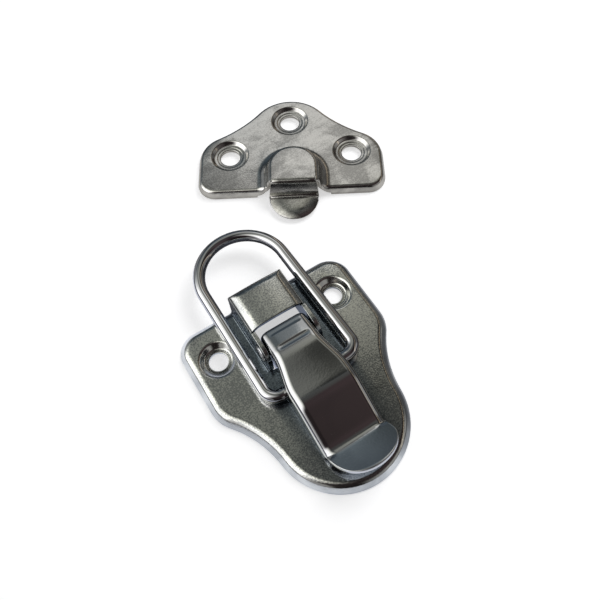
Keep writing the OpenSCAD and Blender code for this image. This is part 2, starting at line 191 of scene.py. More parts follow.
class Sheet:
    """One face of a pressed sheet in a bmesh, grown row by row by extruding edges."""

    def __init__(self) -> None:
        """Starts an empty sheet whose vertices remember their place in a row."""
        self.bm: BMesh = bmesh.new()
        self.place = self.bm.verts.layers.int.new("place")

    def row(self, points: Sequence[Vector]) -> list[BMEdge]:
        """A first row of edges.

        Args:
            points: Places along the row.

        Returns:
            The row.
        """
        verts = [self.bm.verts.new(p) for p in points]
        for i, vert in enumerate(verts):
            vert[self.place] = i
        return [self.bm.edges.new(pair) for pair in zip(verts, verts[1:])]

    def pull(self, edges: Sequence[BMEdge], place: Place) -> list[BMEdge]:
        """Extrudes a row of edges and puts each new vertex in its place.

        Args:
            edges: The row to extrude.
            place: Gives the new position of a vertex, which still lies on the old row.

        Returns:
            The new row.
        """
        made = bmesh.ops.extrude_edge_only(self.bm, edges=list(edges))["geom"]
        fresh = {v for v in made if isinstance(v, BMVert)}
        row = [e for e in made if isinstance(e, BMEdge) and all(v in fresh for v in e.verts)]
        for vert, position in [(v, place(v)) for v in fresh]:
            vert.co = position
        return row

    def pull_rows(self, rows: Sequence[Sequence[Vector]]) -> list[list[BMEdge]]:
        """Rows of the same length, each extruded from the one before.

        Args:
            rows: Places along each row.

        Returns:
            The rows.
        """
        made = [self.row(rows[0])]
        for points in rows[1:]:
            made.append(self.pull(made[-1], lambda v: points[v[self.place]]))
        return made

    def spin(
        self, edges: Sequence[BMEdge], centre: Vector, angle: float, steps: int, axis: Triple = (0, 0, 1)
    ) -> list[BMEdge]:
        """Spins a row of edges about an axis. A full turn closes on itself.

        Args:
            edges: The row to spin.
            centre: A point of the axis.
            angle: How far to turn, in radians.
            steps: Steps of the turn.
            axis: Direction of the axis.

        Returns:
            The row at the end of the turn.
        """
        geom = [*{v for e in edges for v in e.verts}, *edges]
        full = math.isclose(angle, math.tau)
        made = bmesh.ops.spin(
            self.bm, geom=geom, cent=centre, axis=axis, angle=angle, steps=steps, use_merge=full
        )["geom_last"]
        return [e for e in made if isinstance(e, BMEdge)]

    def fill_flat(self, level: float, cut_y: float | None = None) -> None:
        """Fills what lies between the open edges at one height.

        Args:
            level: The height of the flat.
            cut_y: Where a straight cut edge lies across the sheet, which stays open.
        """
        self.join()
        rows = [
            e for e in self.bm.edges
            if len(e.link_faces) < 2
            and all(abs(v.co.z - level) < LEVEL for v in e.verts)
            and not (cut_y is not None and all(abs(v.co.y - cut_y) < LEVEL for v in e.verts))
        ]
        bmesh.ops.triangle_fill(self.bm, use_beauty=True, use_dissolve=False, edges=rows)

    def join(self) -> None:
        """Merges the vertices of rows that meet."""
        bmesh.ops.remove_doubles(self.bm, verts=self.bm.verts[:], dist=JOIN)

    def face_out(self) -> None:
        """Joins the rows and turns all faces outward."""
        self.join()
        bmesh.ops.recalc_face_normals(self.bm, faces=self.bm.faces[:])

    def face_up(self) -> None:
        """Joins the rows and turns all faces to the sheet's upper side."""
        self.face_out()
        if sum(f.normal.z * f.calc_area() for f in self.bm.faces) < 0:
            bmesh.ops.reverse_faces(self.bm, faces=self.bm.faces[:])


class NodeTree:
    """Small helper that adds and links shader nodes."""

    def __init__(self, tree: bpy.types.NodeTree) -> None:
        """Works on one node tree."""
        self.tree = tree

    def add(
        self, kind: str, inputs: dict[str | int, object] | None = None, **settings: object
    ) -> bpy.types.Node:
        """Adds a node.

        Args:
            kind: The node's type.
            inputs: Values or sockets for its inputs, by name or number.
            **settings: The node's own properties.

        Returns:
            The new node.
        """
        node = self.tree.nodes.new(kind)
        for name, value in settings.items():
            setattr(node, name, value)
        for key, value in (inputs or {}).items():
            if isinstance(value, bpy.types.NodeSocket):
                self.tree.links.new(value, node.inputs[key])
            else:
                node.inputs[key].default_value = value
        return node

    def math(self, operation: str, a: object, b: object = 0.0, clamp: bool = False) -> Socket:
        """A Math node's result."""
        return self.add("ShaderNodeMath", {0: a, 1: b}, operation=operation, use_clamp=clamp).outputs[0]

    def times(self, a: object, b: object) -> Socket:
        """Two values multiplied."""
        return self.math("MULTIPLY", a, b)

    def axes(self, vector: Socket) -> Sockets:
        """A vector's parts X, Y and Z."""
        return self.add("ShaderNodeSeparateXYZ", {"Vector": vector}).outputs

    def spread(self, value: object, low: float, high: float, start: float = 0.0, end: float = 1.0) -> Socket:
        """A value mapped smoothly from one range to another."""
        inputs = {"Value": value, "From Min": low, "From Max": high, "To Min": start, "To Max": end}
        return self.add("ShaderNodeMapRange", inputs, interpolation_type="SMOOTHSTEP").outputs["Result"]

    def spread_linear(self, value: object, low: float, high: float) -> Socket:
        """A value mapped straight from a range to 0 and 1."""
        inputs = {"Value": value, "From Min": low, "From Max": high}
        return self.add("ShaderNodeMapRange", inputs).outputs["Result"]

    def blend(self, kind: str, factor: object, a: object, b: object) -> Socket:
        """Two colours mixed, multiplied or added."""
        inputs = {"Factor": factor, 6: a, 7: b}
        return self.add("ShaderNodeMix", inputs, data_type="RGBA", blend_type=kind).outputs[2]

    def ramp(self, value: object, stops: Stops) -> Socket:
        """A colour ramp.

        Args:
            value: Where the ramp is read.
            stops: Its places and colours.

        Returns:
            The colour there.
        """
        node = self.add("ShaderNodeValToRGB", {"Fac": value})
        elements = node.color_ramp.elements
        while len(elements) < len(stops):
            elements.new(1.0)
        for element, (position, colour) in zip(elements, stops):
            element.position = position
            element.color = (*colour, 1.0)
        return node.outputs["Color"]


class PlatingGrain:
    """Shader group with the grain, the cloudy smudges and the fine scratches of plated steel."""

    NAME = "plating_grain"
    SCRATCH_SCALE = 900.0
    SCRATCH_TURN = (0.0, 0.0, -0.35)
    SCRATCH_STRETCH = (0.12, 1.0, 1.0)

    @classmethod
    def group(cls) -> bpy.types.NodeTree:
        """The group, built the first time it is asked for."""
        return bpy.data.node_groups.get(cls.NAME) or cls._build()

    @classmethod
    def _build(cls) -> bpy.types.NodeTree:
        """Builds the group from noise at three scales.

        Returns:
            The group.
        """
        tree = bpy.data.node_groups.new(cls.NAME, "ShaderNodeTree")
        for name, kind in (("Vector", "Vector"), ("Grain Scale", "Float"), ("Cloud Scale", "Float")):
            tree.interface.new_socket(name=name, in_out="INPUT", socket_type=f"NodeSocket{kind}")
        for name in ("Grain", "Cloud", "Scratch"):
            tree.interface.new_socket(name=name, in_out="OUTPUT", socket_type="NodeSocketFloat")
        nodes = NodeTree(tree)
        given = nodes.add("NodeGroupInput").outputs
        place = given["Vector"]
        turned = {"Vector": place, "Rotation": cls.SCRATCH_TURN, "Scale": cls.SCRATCH_STRETCH}
        stretched = nodes.add("ShaderNodeMapping", turned).outputs["Vector"]
        noises = {
            "Grain": {"Vector": place, "Scale": given["Grain Scale"], "Detail": 2.0, "Roughness": 0.6},
            "Cloud": {"Vector": place, "Scale": given["Cloud Scale"], "Detail": 3.0, "Distortion": 0.6},
            "Scratch": {"Vector": stretched, "Scale": cls.SCRATCH_SCALE, "Detail": 3.0},
        }
        out = nodes.add("NodeGroupOutput")
        for name, inputs in noises.items():
            tree.links.new(nodes.add("ShaderNodeTexNoise", inputs).outputs["Fac"], out.inputs[name])
        return tree


# Painted reflection lines along a wire: dark and pale bands by height from its underside to its top, which
# stand in for what the round wire mirrors.
REFLECTED_DARK = (0.12, 0.12, 0.14)
PAINTED_WIRE_REFLECTIONS = (
    (0.5, WHITE),
    (0.6, REFLECTED_DARK),
    (0.68, WHITE),
    (0.78, WHITE),
    (0.83, REFLECTED_DARK),
    (0.88, WHITE),
    (0.955, WHITE),
    (0.972, (0.55, 0.55, 0.57)),
    (0.99, WHITE),
)


@dataclass(frozen=True)
class Plating:
    """A plated finish: its tints, its roughness, and how strong its grain, its painted crevice shade and its
    painted reflection lines are.
    """

    name: str
    tint: Colour
    worn_tint: Colour
    smooth: float
    rough: float
    grain_scale: float
    cloud_scale: float
    grain_depth: float
    wave_depth: float
    grain_tint: float = 0.0
    scratch_tint: float = 0.0
    # Painted shade and dark reflection: a blue-grey multiplied into the colour where ambient occlusion finds
    # crevices near the middle line.
    painted_shade: Colour = (0.28, 0.33, 0.4)
    painted_shade_half: float = 0.0
    painted_shade_fade: float = 1.5
    painted_shade_reach: float = 9.0
    painted_shade_air: Pair = (0.45, 0.95)
    # Painted reflection: dark lines multiplied into a wire's colour by height, between the two heights below.
    painted_reflections: float = 0.0
    reflection_heights: Pair = (3.1, 5.7)

    def paint_crevice_shade(self, nodes: NodeTree, place: Socket, plain_colour: Socket) -> Socket:
        """The colour with painted shade where little air reaches the plate, beside its middle line.

        Args:
            nodes: The material.
            place: Object coordinates.
            plain_colour: The colour without the painted shade.

        Returns:
            The colour with painted shade.
        """
        reach = {"Distance": self.painted_shade_reach * MM}
        open_air = nodes.add("ShaderNodeAmbientOcclusion", reach, samples=8).outputs["AO"]
        across = nodes.math("ABSOLUTE", nodes.axes(place)["X"])
        outside = nodes.spread(across, self.painted_shade_half * MM, (self.painted_shade_half + self.painted_shade_fade) * MM)
        free = nodes.math("MAXIMUM", nodes.spread(open_air, *self.painted_shade_air), outside)
        return nodes.blend("MIX", free, nodes.blend("MULTIPLY", 1.0, plain_colour, (*self.painted_shade, 1.0)), plain_colour)

    def paint_wire_reflections(self, nodes: NodeTree, place: Socket, plain_colour: Socket) -> Socket:
        """The colour with painted dark reflection lines along a wire, by height.

        Args:
            nodes: The material.
            place: Object coordinates.
            plain_colour: The colour without the painted reflection lines.

        Returns:
            The colour with painted reflection lines.
        """
        low, high = self.reflection_heights
        level = nodes.spread_linear(nodes.axes(place)["Z"], low * MM, high * MM)
        return nodes.blend("MULTIPLY", self.painted_reflections, plain_colour, nodes.ramp(level, PAINTED_WIRE_REFLECTIONS))

    def material(self) -> bpy.types.Material:
        """The finish as a material on Object coordinates.

        Returns:
            A metal whose colour, roughness and normal follow the grain.
        """
        material = bpy.data.materials.new(self.name)
        material.use_nodes = True
        nodes = NodeTree(material.node_tree)
        place = nodes.add("ShaderNodeTexCoord").outputs["Object"]
        scales = {"Vector": place, "Grain Scale": self.grain_scale, "Cloud Scale": self.cloud_scale}
        grain = nodes.add("ShaderNodeGroup", scales, node_tree=PlatingGrain.group()).outputs
        cloud = nodes.spread(grain["Cloud"], *NOISE_RANGE)
        upward = nodes.axes(nodes.add("ShaderNodeNewGeometry").outputs["Normal"])["Z"]
        flats = nodes.spread(upward, *FLAT_RANGE, 0.0, self.grain_tint)
        speck = nodes.times(nodes.spread(grain["Grain"], *NOISE_RANGE, -1.0, 1.0), flats)
        streak = nodes.spread(grain["Scratch"], *NOISE_RANGE, -self.scratch_tint, self.scratch_tint)
        mixed = nodes.math("ADD", cloud, nodes.math("ADD", speck, streak), clamp=True)
        colour = nodes.ramp(mixed, ((0.0, self.worn_tint), (1.0, self.tint)))
        if self.painted_shade_half:
            colour = self.paint_crevice_shade(nodes, place, colour)
        if self.painted_reflections:
            colour = self.paint_wire_reflections(nodes, place, colour)
        rough = nodes.spread(cloud, 0.0, 1.0, self.rough, self.smooth)
        waves = nodes.times(grain["Cloud"], self.wave_depth * MM)
        pits = nodes.times(grain["Grain"], self.grain_depth * MM)
        relief = {"Height": nodes.math("ADD", waves, pits), "Strength": 1.0, "Distance": 1.0}
        bump = nodes.add("ShaderNodeBump", relief).outputs["Normal"]
        shader = material.node_tree.nodes["Principled BSDF"]
        shader.inputs["Metallic"].default_value = 1.0
        for name, socket in (("Base Color", colour), ("Roughness", rough), ("Normal", bump)):
            material.node_tree.links.new(socket, shader.inputs[name])
        return material


@dataclass
class Piece:
    """What every piece shares: where it rides, which solid it stands for, and its finish."""

    name: str
    node: str
    body: Body
    slot: Slot
    plating: Plating

    def settle(self, bm: BMesh) -> bpy.types.Object:
        """Makes a piece in metres from a bmesh in millimetres, and ties it to the frame.

        Args:
            bm: The finished shape, which is freed.

        Returns:
            The piece.
        """
        bmesh.ops.scale(bm, vec=(MM, MM, MM), verts=bm.verts[:])
        mesh = bpy.data.meshes.new(self.name)
        bm.to_mesh(mesh)
        bm.free()
        mesh.shade_smooth()
        mesh.materials.append(self.plating.material())
        piece = bpy.data.objects.new(self.name, mesh)
        bpy.context.scene.collection.objects.link(piece)
        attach(piece, self.body.value)
        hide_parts(self.node)
        LOG.info("%s: %d faces on body %s", self.name, len(mesh.polygons), self.body.value)
        return piece

    def press(self, sheet: Sheet, thickness: float, edge: float) -> bpy.types.Object:
        """Makes a piece from a sheet's upper face, with its thickness below, rounded edges and even normals.

        Args:
            sheet: The finished upper face.
            thickness: Thickness of the sheet.
            edge: Width of the rounding at the cut edges.

        Returns:
            The piece.
        """
        sheet.face_up()
        piece = self.settle(sheet.bm)
        wall = piece.modifiers.new("Sheet thickness", "SOLIDIFY")
        wall.thickness = thickness * MM
        wall.offset = -1.0
        wall.use_even_offset = False
        wall.use_quality_normals = True
        rounding = piece.modifiers.new("Rounded cut edges", "BEVEL")
        rounding.width = edge * MM
        rounding.segments = 2
        rounding.limit_method = "ANGLE"
        rounding.angle_limit = EDGE_ANGLE
        rounding.use_clamp_overlap = False
        piece.modifiers.new("Even normals", "WEIGHTED_NORMAL")
        return piece


@dataclass(frozen=True)
class Dimple:
    """The pressed bowl around a screw hole: a rounded shoulder, a wall, a fillet and a stepped floor."""

    radius: float
    depth: float
    wall: float
    shoulder_r: float
    fillet_r: float
    ring_r: float
    ring_drop: float
    hole_r: float
    ring_half: float = 0.16
    rim: float = 0.3
    rim_drop: float = 0.03
    steps: int = 7

    def profile(self, height: float) -> list[Pair]:
        """The bowl's section.

        Args:
            height: Height of the flat around the bowl.

        Returns:
            Points as radius and height, from the flat in to the hole's edge.
        """
        wall = math.radians(self.wall)
        floor_z = height - self.depth
        floor_r = self.radius - self.depth / math.tan(wall)
        start = self.radius + self.shoulder_r * math.tan(wall / 2)
        end = floor_r - self.fillet_r * math.tan(wall / 2)
        turns = [wall * k / self.steps for k in range(self.steps + 1)]
        points = []
        for a in turns:
            drop = self.shoulder_r * (1 - math.cos(a))
            points.append((start - self.shoulder_r * math.sin(a), height - drop))
        for a in reversed(turns):
            rise = self.fillet_r * (1 - math.cos(a))
            points.append((end + self.fillet_r * math.sin(a), floor_z + rise))
        for t in (0.0, 0.25, 0.5, 0.75, 1.0):
            points.append((self.ring_r + self.ring_half * (1 - 2 * t), floor_z - self.ring_drop * ease(t)))
        low = floor_z - self.ring_drop
        return [*points, (self.hole_r + self.rim, low), (self.hole_r, low - self.rim_drop)]


@dataclass
class Pressing(Piece):
    """A shallow plate with a drawn rim and dimpled screw holes."""

    sheet: float = 0.9
    height: float = 2.2
    rim_foot: float = 0.4
    draft: float = 54.0
    rim_r: float = 1.6
    wall_insets: tuple[float, ...] = (0.0, 0.081, 0.229, 0.445, 0.75)
    wall_gap: float = 0.1
    rim_steps: int = 6
    bowl_steps: int = 72

    def rim_bend(self) -> Pair:
        """Where the rim's bend lies.

        Returns:
            The insets where it leaves the sloping wall and where it meets the flat.
        """
        slope = math.radians(self.draft)
        corner = (self.height - self.rim_foot) / math.tan(slope)
        end = corner + self.rim_r * math.tan(slope / 2)
        return end - self.rim_r * math.sin(slope), end

    def insets(self) -> list[float]:
        """Rows of the rim.

        Returns:
            Their insets, from the outline inwards.
        """
        start, end = self.rim_bend()
        slope = math.radians(self.draft)
        turns = [slope * k / self.rim_steps for k in range(self.rim_steps, -1, -1)]
        walls = [inset for inset in self.wall_insets if inset < start - self.wall_gap]
        return walls + [end - self.rim_r * math.sin(a) for a in turns]

    def rim_height(self, inset: float) -> float:
        """Height of the rim's outer face.

        Args:
            inset: How far in from the outline.

        Returns:
            The height there.
        """
        start, end = self.rim_bend()
        if inset <= start:
            return self.rim_foot + inset * math.tan(math.radians(self.draft))
        into = max(0.0, end - inset)
        return self.height - self.rim_r + math.sqrt(self.rim_r**2 - into**2)

    def rim(self, sheet: Sheet, outline: Outline, ends: Pair) -> None:
        """Draws the rim from the mounting plane up its sloping wall to the flat.

        Args:
            sheet: The sheet to grow.
            outline: The plate's outline.
            ends: Where the run starts and ends on the broken straight.
        """
        levels = [(0.0, 0.0)] + [(inset, self.rim_height(inset)) for inset in self.insets()]
        sheet.pull_rows([
            [Vector((p.x, p.y, z)) for p in outline.points(inset, *ends)] for inset, z in levels
        ])

    def sink(self, sheet: Sheet, x: float, y: float, dimple: Dimple) -> None:
        """Spins a dimple into the sheet around a screw hole.

        Args:
            sheet: The sheet to grow.
            x: Centre of the hole.
            y: Centre of the hole.
            dimple: The dimple's form.
        """
        centre = Vector((x, y, 0))
        profile = [centre + Vector((r, 0, z)) for r, z in dimple.profile(self.height)]
        sheet.spin(sheet.row(profile), centre, math.tau, self.bowl_steps)


def wall_profile(
    half: float, top: float, bend: float, foot: float, flat: float, angles: Sequence[float]
) -> list[Pair]:
    """Half section of a drawn form, from the flat of the plate up to the middle of its top.

    Args:
        half: Half width across the walls.
        top: Height of the top face.
        bend: Outer radius at the top.
        foot: Fillet radius at the plate.
        flat: Height of the plate's flat.
        angles: Steps of the top bend, in degrees from the top.

    Returns:
        Points as half width and height.
    """
    points = []
    for k in range(6):
        a = math.radians(90) * k / 5
        points.append((half + foot * (1 - math.sin(a)), flat + foot * (1 - math.cos(a))))
    low, high = flat + foot, top - bend
    points += [(half, low + (high - low) * t) for t in (0.25, 0.5, 0.75)]
    for angle in reversed(angles):
        inset, drop = quarter(bend, angle)
        points.append((half - inset, top - drop))
    points += [((half - bend) * t, top) for t in (0.66, 0.33, 0.0)]
    return points


@dataclass
class BasePlate(Pressing):
    """The latch's plate: two screw ears, a round end, the hood and the two hinge ears."""

    far: float = 8.45
    ear_low: Arc = Arc(12.8, -8.4, 7.6)
    ear_top: Arc = Arc(15.6, 3.65, 4.8)
    round_end: Arc = Arc(0.0, -23.2, 14.0)
    waist_r: float = 22.0
    holes: tuple[Pair, ...] = ((-14.0, 0.0), (14.0, 0.0), (0.0, -24.0))
    bowl: Dimple = Dimple(3.85, 1.2, 50.0, 0.9, 0.7, 2.45, 0.08, 2.0)
    hood_half: float = 6.25
    hood_top: float = 9.2
    hood_bend: float = 2.1
    hood_foot: float = 0.7
    hood_near: float = -1.05
    hood_crown: float = 0.45
    foot_follow: float = 2.4
    lip: float = 0.5
    pin: Pair = (-4.8, 5.2)
    ear_r: float = 3.2
    hood_rows: tuple[float, ...] = (4.6, 3.0, 1.6, 0.4, -0.7)
    bend_angles: tuple[float, ...] = (0, 14, 27, 40, 52, 63, 74, 90)
    ear_rows: tuple[float, ...] = (-1.4, -2.6, -3.6)
    ear_angles: tuple[float, ...] = (15, 30, 45, 60, 73, 90)
    slot_lip: float = 0.4
    slot_steps: int = 8
    edge: float = 0.1

    @property
    def skirt(self) -> float:
        """Half width of the hood with its foot."""
        return self.hood_half + self.hood_foot

    def outline(self) -> Outline:
        """The plate's outline.

        Returns:
            The outline, broken at the hood.
        """
        waist = self.round_end.touching(self.ear_low, self.waist_r)
        left = (self.ear_top.flipped(), self.ear_low.flipped(), waist.flipped())
        return Outline((*left, self.round_end, waist, self.ear_low, self.ear_top))

    def hood_row(self, y: float) -> list[Vector]:
        """One section of the hood.

        Args:
            y: Where the section lies. Past the bend, the far lip turns down, and the foot follows the rim.

        Returns:
            Points from the left foot over the top to the right foot.
        """
        half = wall_profile(
            self.hood_half, self.hood_top, self.hood_bend, self.hood_foot, self.height, self.bend_angles
        )
        into = max(0.0, y - (self.far - self.hood_bend))
        ceiling = self.hood_top - self.hood_bend + math.sqrt(max(0.0, self.hood_bend**2 - into**2))
        sink = self.height - self.rim_height(self.far - y)
        rim_top = self.hood_top - self.hood_bend
        right = []
        for x, z in half:
            follow = min(1.0, max(0.0, 1 - (z - self.height) / self.foot_follow))
            above = max(0.0, min(z, ceiling) - rim_top) / self.hood_bend
            crown = self.hood_crown * above * (x / self.hood_half) ** 2
            right.append(Vector((x, y, min(z, ceiling) - sink * follow - crown)))
        return both_sides(right)

    def hood(self, sheet: Sheet) -> None:
        """Draws the hood from its far lip to its near edge, then the two hinge ears.

        Args:
            sheet: The sheet to grow.
        """
        ys = [self.far - inset for inset in self.insets()]
        ys += [*self.hood_rows, self.hood_near]
        rows = sheet.pull_rows([self.hood_row(y) for y in ys])
        rim_top = self.hood_top - self.hood_bend
        lip = [e for e in rows[0] if all(v.co.z > rim_top - LEVEL for v in e.verts)]
        sheet.pull(lip, lambda v: v.co - Vector((0, 0, self.lip)))
        near = [e for e in rows[-1] if all(v.co.z < rim_top + LEVEL for v in e.verts)]
        self.hinge_ears(sheet, near, rim_top)

    def hinge_ears(self, sheet: Sheet, near: list[BMEdge], wall_top: float) -> None:
        """Runs the hood's walls on around the pin.

        Args:
            sheet: The sheet to grow.
            near: The walls' edges at the hood's near end.
            wall_top: Height where the walls end in the hood's bend.
        """
        pin_y, pin_z = self.pin
        low = self.height + self.hood_foot
        top = pin_z + self.ear_r
        stations = [(y, top) for y in (*self.ear_rows, pin_y)]
        for angle in self.ear_angles:
            a = math.radians(angle)
            stations.append((pin_y - self.ear_r * math.sin(a), pin_z + self.ear_r * math.cos(a)))
        row, last_top = near, wall_top
        for y, ear_top in stations:
            stretch = (ear_top - low) / (last_top - low)

            def onward(v: BMVert) -> Vector:
                """The same vertex at the next station.

                Args:
                    v: The vertex, still on the old row.

                Returns:
                    Its new place.
                """
                z = v.co.z if v.co.z <= low + LEVEL else low + (v.co.z - low) * stretch
                return Vector((v.co.x, y, z))

            row = sheet.pull(row, onward)
            last_top = ear_top
        tip = pin_y - self.ear_r
        shares = [2 * k / self.slot_steps - 1 for k in range(self.slot_steps + 1)]
        slot_edge = sheet.row([Vector((self.skirt * t, tip, self.height)) for t in shares])
        sheet.pull(slot_edge, lambda v: v.co - Vector((0, self.slot_lip, 0)))

    def build(self) -> bpy.types.Object:
        """Builds the plate.

        Returns:
            One pressed sheet.
        """
        sheet = Sheet()
        self.rim(sheet, self.outline(), (-self.skirt, self.skirt))
        self.hood(sheet)
        for x, y in self.holes:
            self.sink(sheet, x, y, self.bowl)
        sheet.fill_flat(self.height, self.pin[0] - self.ear_r)
        return self.press(sheet, self.sheet, self.edge)


@dataclass
class CatchPlate(Pressing):
    """The catch: three dimpled holes, a dome that the bail hooks over, and a tongue in front."""

    near: float = -11.2
    rim_foot: float = 0.6
    draft: float = 70.0
    rim_r: float = 0.9
    corner: Arc = Arc(18.1, -7.0, 4.2)
    shoulder: Arc = Arc(14.7, -0.9, 7.6)
    top: Arc = Arc(0.0, 6.9, 10.4)
    waist_r: float = 31.0
    holes: tuple[Pair, ...] = ((-14.7, 0.0), (14.7, 0.0), (0.0, 10.2))
    bowl: Dimple = Dimple(4.5, 0.75, 48.0, 0.45, 0.4, 3.1, 0.1, 2.35)
    dome_x: float = 0.5
    dome_y: float = -6.7
    dome_half: float = 6.1
    dome_top: float = 6.0
    dome_bend: float = 1.2
    dome_foot: float = 2.6
    dome_run: float = 1.6
    dome_steps: int = 40
    foot_follow: float = 1.3
    bend_angles: tuple[float, ...] = (0, 15, 30, 45, 60, 75, 90)
    front: float = -10.5
    front_bend: float = 1.1
    front_slope: float = 73.0
    front_flare: float = 0.08
    front_steps: int = 5
    hollow: float = 0.7
    tongue_z: float = 2.0
    tongue_half: float = 5.7
    tongue_tip: float = -18.4
    tongue_drop: float = 0.6
    tongue_fall: float = 0.06
    tip_angles: tuple[float, ...] = (0, 10, 20, 30, 40, 50, 58, 66, 72, 78, 83)
    turn_run: float = 1.2
    flat_share: float = 0.55
    at: Pair = (26.4, 37.1)
    turned: float = -30.3
    edge: float = 0.1

    @property
    def skirt(self) -> float:
        """Half width of the dome with its foot."""
        return self.dome_half + self.dome_foot

    def outline(self) -> Outline:
        """The plate's outline.

        Returns:
            The outline, broken at the dome.
        """
        waist = self.shoulder.touching(self.top, self.waist_r)
        left = (waist.flipped(), self.shoulder.flipped(), self.corner.flipped())
        return Outline((self.corner, self.shoulder, waist, self.top, *left))

    def profile(self) -> list[Pair]:
        """Half section of the dome, from its foot to the middle of its top."""
        sizes = (self.dome_half, self.dome_top, self.dome_bend, self.dome_foot, self.height)
        return wall_profile(*sizes, self.bend_angles)

    def dome(self, sheet: Sheet) -> None:
        """Spins the dome's round end, runs its walls to the near edge and turns its top down into the tongue.

        Args:
            sheet: The sheet to grow.
        """
        half = self.profile()
        centre = Vector((self.dome_x, self.dome_y, 0))
        first = sheet.row([centre + Vector((u, 0, z)) for u, z in half])
        edges = [*first, *sheet.spin(first, centre, math.pi, self.dome_steps)]
        flat = self.dome_half - self.dome_bend
        for y in (self.dome_y - self.dome_run, self.near + self.insets()[-1]):
            edges = sheet.pull(edges, lambda v: Vector((v.co.x, y, v.co.z)))
        cap = [e for e in edges if all(abs(v.co.x - self.dome_x) < flat + LEVEL for v in e.verts)]
        walls = [e for e in edges if e not in cap]
        wall_low = self.height + self.foot_follow * self.dome_foot
        for inset in reversed(self.insets()[:-1]):
            y = self.near + inset
            sink = self.height - self.rim_height(inset)

            def onward(v: BMVert) -> Vector:
                """The same vertex on the next row, with the foot following the rim.

                Args:
                    v: The vertex, still on the old row.

                Returns:
                    Its new place.
                """
                z = half[v[sheet.place]][1]
                follow = min(1.0, max(0.0, (wall_low - z) / (wall_low - self.height)))
                return Vector((v.co.x, y, z - sink * follow))

            walls = sheet.pull(walls, onward)
        self.tongue(sheet, cap, flat)

    def tongue(self, sheet: Sheet, edges: list[BMEdge], flat: float) -> None:
        """Runs the dome's top over its front edge, down the front wall and out as a round tongue.

        Args:
            sheet: The sheet to grow.
            edges: The top's near edges.
            flat: Half width of the top.
        """
        path = self.front_path(flat)
        bottom = path[-1][0]
        round_y = self.tongue_tip + self.tongue_half
        path.append((0.5 * (bottom + round_y), self.tongue_z, self.tongue_half))
        for angle in self.tip_angles:
            a = math.radians(angle)
            y, half = round_y - self.tongue_half * math.sin(a), self.tongue_half * math.cos(a)
            path.append((y, self.tongue_z, half))
        wide = flat
        for y, z, half in path:
            scale = half / wide
            spread = ease((bottom - y) / (2 * self.turn_run) + 0.5)

            def onward(v: BMVert) -> Vector:
                """The same vertex on the next row, with the tongue's sides turned down.

                Args:
                    v: The vertex, still on the old row.

                Returns:
                    Its new place.
                """
                u = (v.co.x - self.dome_x) * scale
                reach = math.hypot(u, min(0.0, y - round_y)) / self.tongue_half
                past = max(0.0, (reach - self.flat_share) / (1 - self.flat_share))
                drop = spread * self.tongue_drop * past**2 + self.tongue_fall * max(0.0, bottom - y)
                return Vector((self.dome_x + u, y, z - drop))

            edges = sheet.pull(edges, onward)
            wide = half

    def front_path(self, flat: float) -> list[Triple]:
        """The middle line over the dome's front edge and down its sloping front.

        Args:
            flat: Half width of the top, where the line starts.

        Returns:
            Places as y, height and half width, down to the tongue's level.
        """
        r, hollow, slope = self.front_bend, self.hollow, math.radians(self.front_slope)
        turns = [slope * k / self.front_steps for k in range(self.front_steps + 1)]
        path = []
        for k, a in enumerate(turns):
            y, z = self.front - r * math.sin(a), self.dome_top - r * (1 - math.cos(a))
            path.append((y, z, flat + self.front_flare * k))
        top_y, top_z, top_half = path[-1]
        low_z = self.tongue_z + hollow * (1 - math.cos(slope))
        low_y = top_y - (top_z - low_z) / math.tan(slope)
        for t in (0.25, 0.5, 0.75):
            half = top_half + (self.tongue_half - top_half) * t
            path.append((top_y + (low_y - top_y) * t, top_z + (low_z - top_z) * t, half))
        for a in reversed(turns):
            y = low_y - hollow * (math.sin(slope) - math.sin(a))
            path.append((y, self.tongue_z + hollow * (1 - math.cos(a)), self.tongue_half))
        return path

    def build(self) -> bpy.types.Object:
        """Builds the catch.

        Returns:
            One pressed sheet, turned and laid in its place.
        """
        sheet = Sheet()
        self.rim(sheet, self.outline(), (self.dome_x + self.skirt, self.dome_x - self.skirt))
        self.dome(sheet)
        for x, y in self.holes:
            self.sink(sheet, x, y, self.bowl)
        sheet.fill_flat(self.height)
        turn = Matrix.Rotation(math.radians(self.turned), 3, "Z")
        bmesh.ops.rotate(sheet.bm, cent=(0, 0, 0), matrix=turn, verts=sheet.bm.verts[:])
        bmesh.ops.translate(sheet.bm, vec=(*self.at, 0), verts=sheet.bm.verts[:])
        return self.press(sheet, self.sheet, self.edge)


